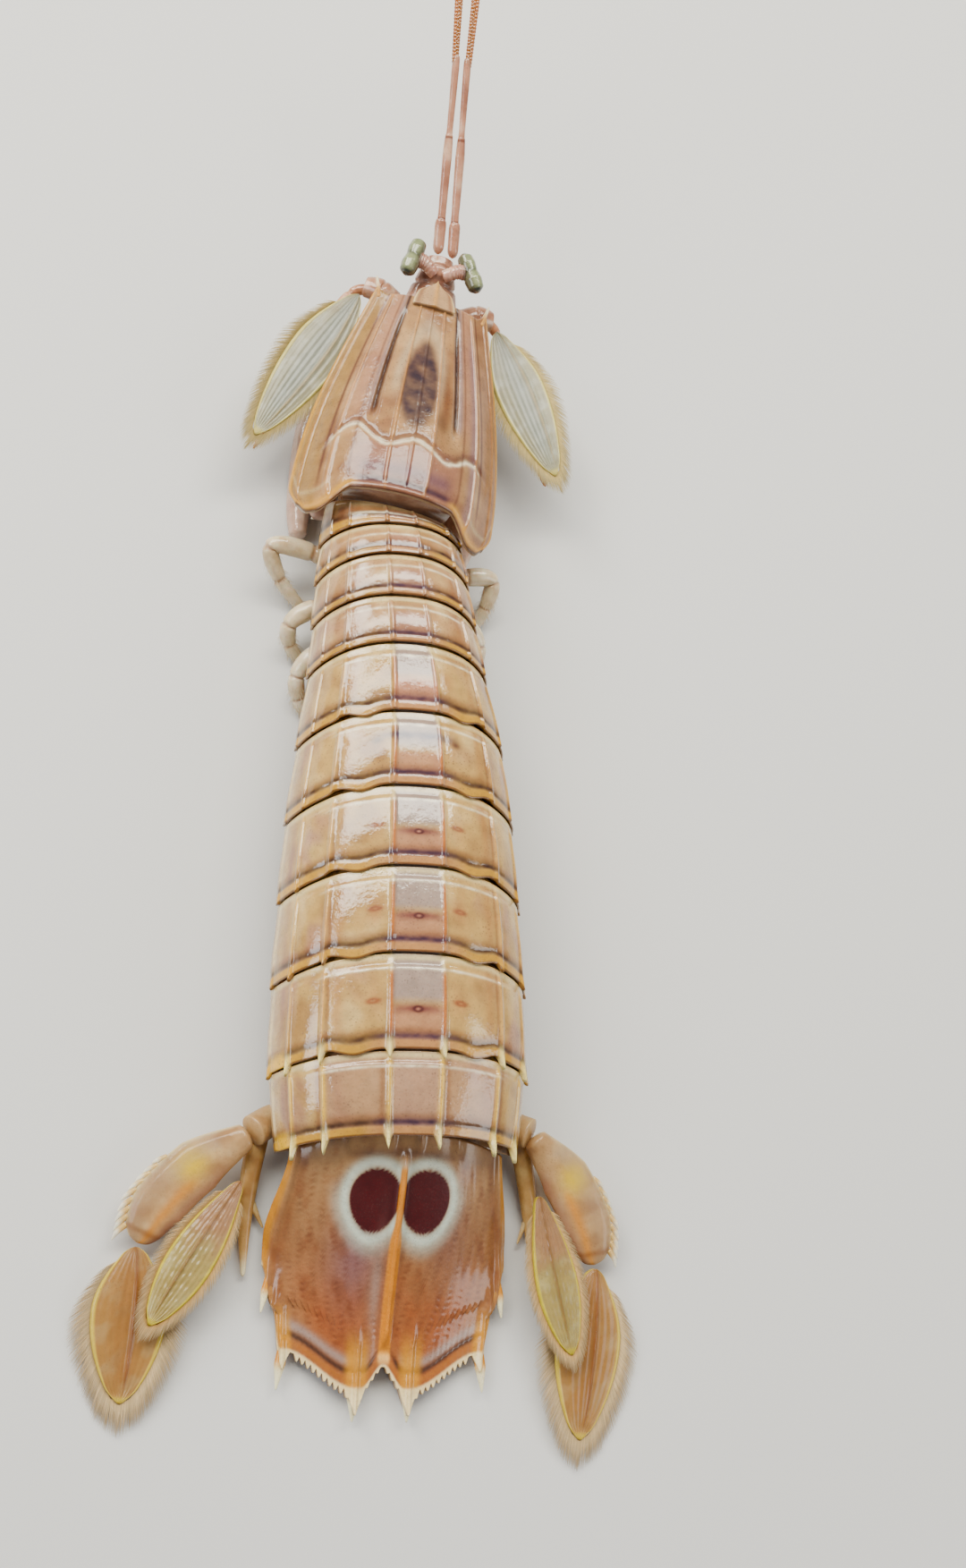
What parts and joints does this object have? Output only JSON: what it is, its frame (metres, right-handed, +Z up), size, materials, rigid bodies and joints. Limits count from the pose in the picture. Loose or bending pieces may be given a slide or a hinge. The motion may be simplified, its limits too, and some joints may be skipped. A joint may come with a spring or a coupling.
{
  "type": "mantis shrimp",
  "caption": "Life-size mantis shrimp at rest: ridged ringed trunk, head shield, stalked eyes, folded toothed claws, forked tail fan and feathery swimming legs.",
  "frame": {"origin": "middle of the footprint of all pieces, on the floor that the animal rests on", "axes": "+Z up from the belly to the back, +Y along the body towards the head and feelers, +X to the animal's right"},
  "size_m": [0.071, 0.2214, 0.033],
  "materials": {
    "shell": "glossy wet shell of tan chitin with dark rear margins",
    "inner_shell": "glossy reddish brown chitin",
    "blade": "thin translucent chitin blades with a yellow rim and bristles",
    "claw": "smooth glossy pinkish chitin",
    "limb": "smooth translucent cream chitin",
    "feeler": "slim translucent amber chitin",
    "cornea": "silvery green wet facetted eye"
  },
  "bodies": {
    "root": {"carapace": "shell", "forebody": "inner_shell", "head": "inner_shell", "thorax_5": "shell", "thorax_6": "shell", "thorax_7": "shell", "thorax_8": "shell", "abdomen_1": "shell", "abdomen_2": "shell", "abdomen_3": "shell", "abdomen_4": "shell", "abdomen_5": "shell", "abdomen_6": "shell", "telson": "inner_shell", "eyestalk_left": "claw", "eye_left": "cornea", "antennule_left": "feeler", "antenna_left": "feeler", "antennal_scale_left": "blade", "claw_arm_left": "claw", "claw_palm_left": "claw", "claw_finger_left": "limb", "small_claw_1_left": "limb", "small_claw_2_left": "limb", "small_claw_3_left": "limb", "walking_leg_1_left": "limb", "walking_leg_2_left": "limb", "walking_leg_3_left": "limb", "swimming_leg_1_left": "limb", "swimming_leg_2_left": "limb", "swimming_leg_3_left": "limb", "swimming_leg_4_left": "limb", "swimming_leg_5_left": "limb", "uropod_base_left": "blade", "uropod_outer_left": "blade", "uropod_pad_left": "blade", "uropod_inner_left": "blade", "eyestalk_right": "claw", "eye_right": "cornea", "antennule_right": "feeler", "antenna_right": "feeler", "antennal_scale_right": "blade", "claw_arm_right": "claw", "claw_palm_right": "claw", "claw_finger_right": "limb", "small_claw_1_right": "limb", "small_claw_2_right": "limb", "small_claw_3_right": "limb", "walking_leg_1_right": "limb", "walking_leg_2_right": "limb", "walking_leg_3_right": "limb", "swimming_leg_1_right": "limb", "swimming_leg_2_right": "limb", "swimming_leg_3_right": "limb", "swimming_leg_4_right": "limb", "swimming_leg_5_right": "limb", "uropod_base_right": "blade", "uropod_outer_right": "blade", "uropod_pad_right": "blade", "uropod_inner_right": "blade"}
  },
  "joints": []
}
